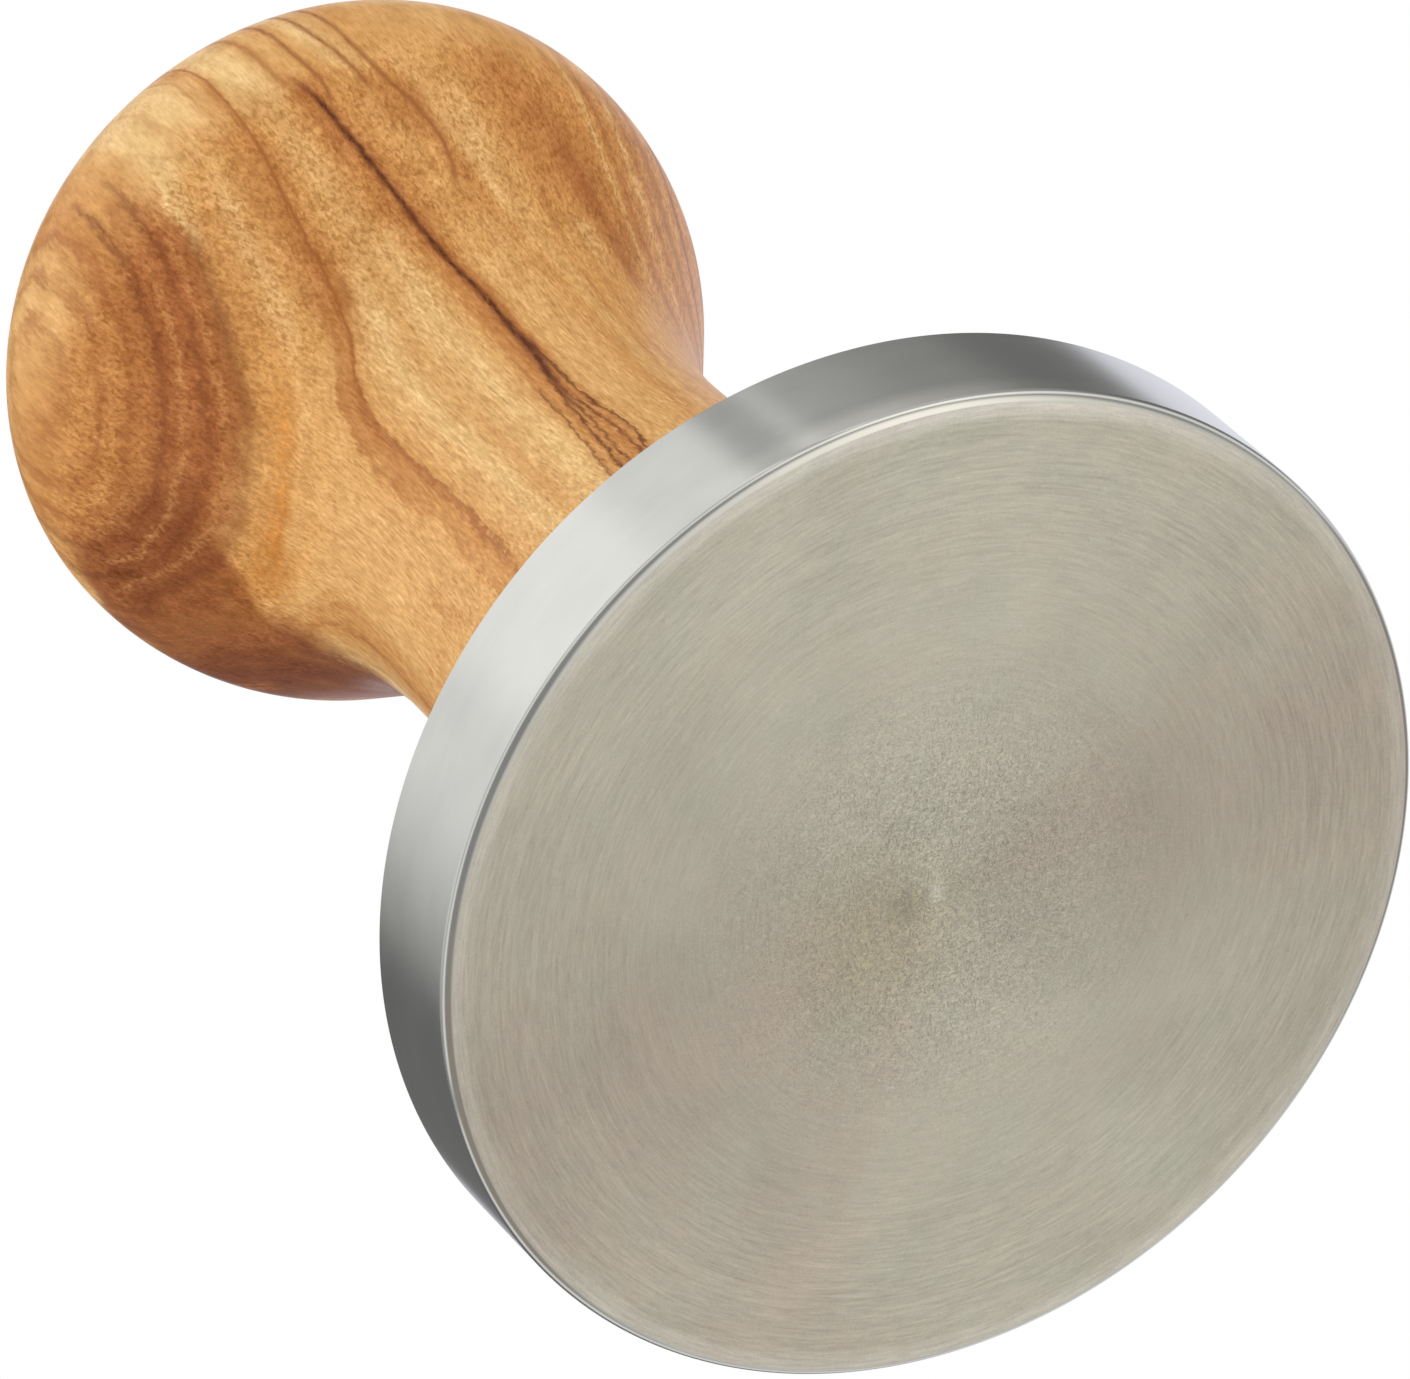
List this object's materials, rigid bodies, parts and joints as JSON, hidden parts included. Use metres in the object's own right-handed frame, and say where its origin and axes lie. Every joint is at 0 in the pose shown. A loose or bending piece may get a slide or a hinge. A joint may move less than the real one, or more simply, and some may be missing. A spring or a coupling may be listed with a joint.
{
  "type": "espresso tamper",
  "caption": "Hand tamper for espresso coffee: a flat round steel base with a bell-shaped back, and a waisted wooden knob handle that unscrews from it.",
  "frame": {"origin": "centre of the flat tamping face, which is the bottom of the standing tamper", "axes": "+Z along the tamper's axis, from the tamping face up to the knob; X and Y lie in the face and the shape is turned about Z"},
  "size_m": [0.058, 0.058, 0.0884],
  "materials": {
    "stainless_steel": "satin wall, face turned in fine concentric rings",
    "olive_wood": "oiled, satin",
    "washer_nylon": "natural nylon",
    "brass": "machined",
    "stud_steel": "machined"
  },
  "bodies": {
    "base": {"tamper_base": "stainless_steel"},
    "washer": {"friction_washer": "washer_nylon"},
    "handle": {"wooden_handle": "olive_wood", "threaded_insert": "brass", "joining_stud": "stud_steel"}
  },
  "joints": [
    {"name": "handle_lift", "type": "slide", "parent": "base", "child": "washer", "axis": [0, 0, 1], "range_m": [0, 0.01]},
    {"name": "handle_turn", "type": "hinge", "parent": "washer", "child": "handle", "pos_m": [0, 0, 0.018], "axis": [0, 0, 1], "range_deg": [0, 2880]}
  ],
  "couplings": [
    {"joint": "handle_lift", "follows": "handle_turn", "m_per_rad": 0.00019894}
  ]
}
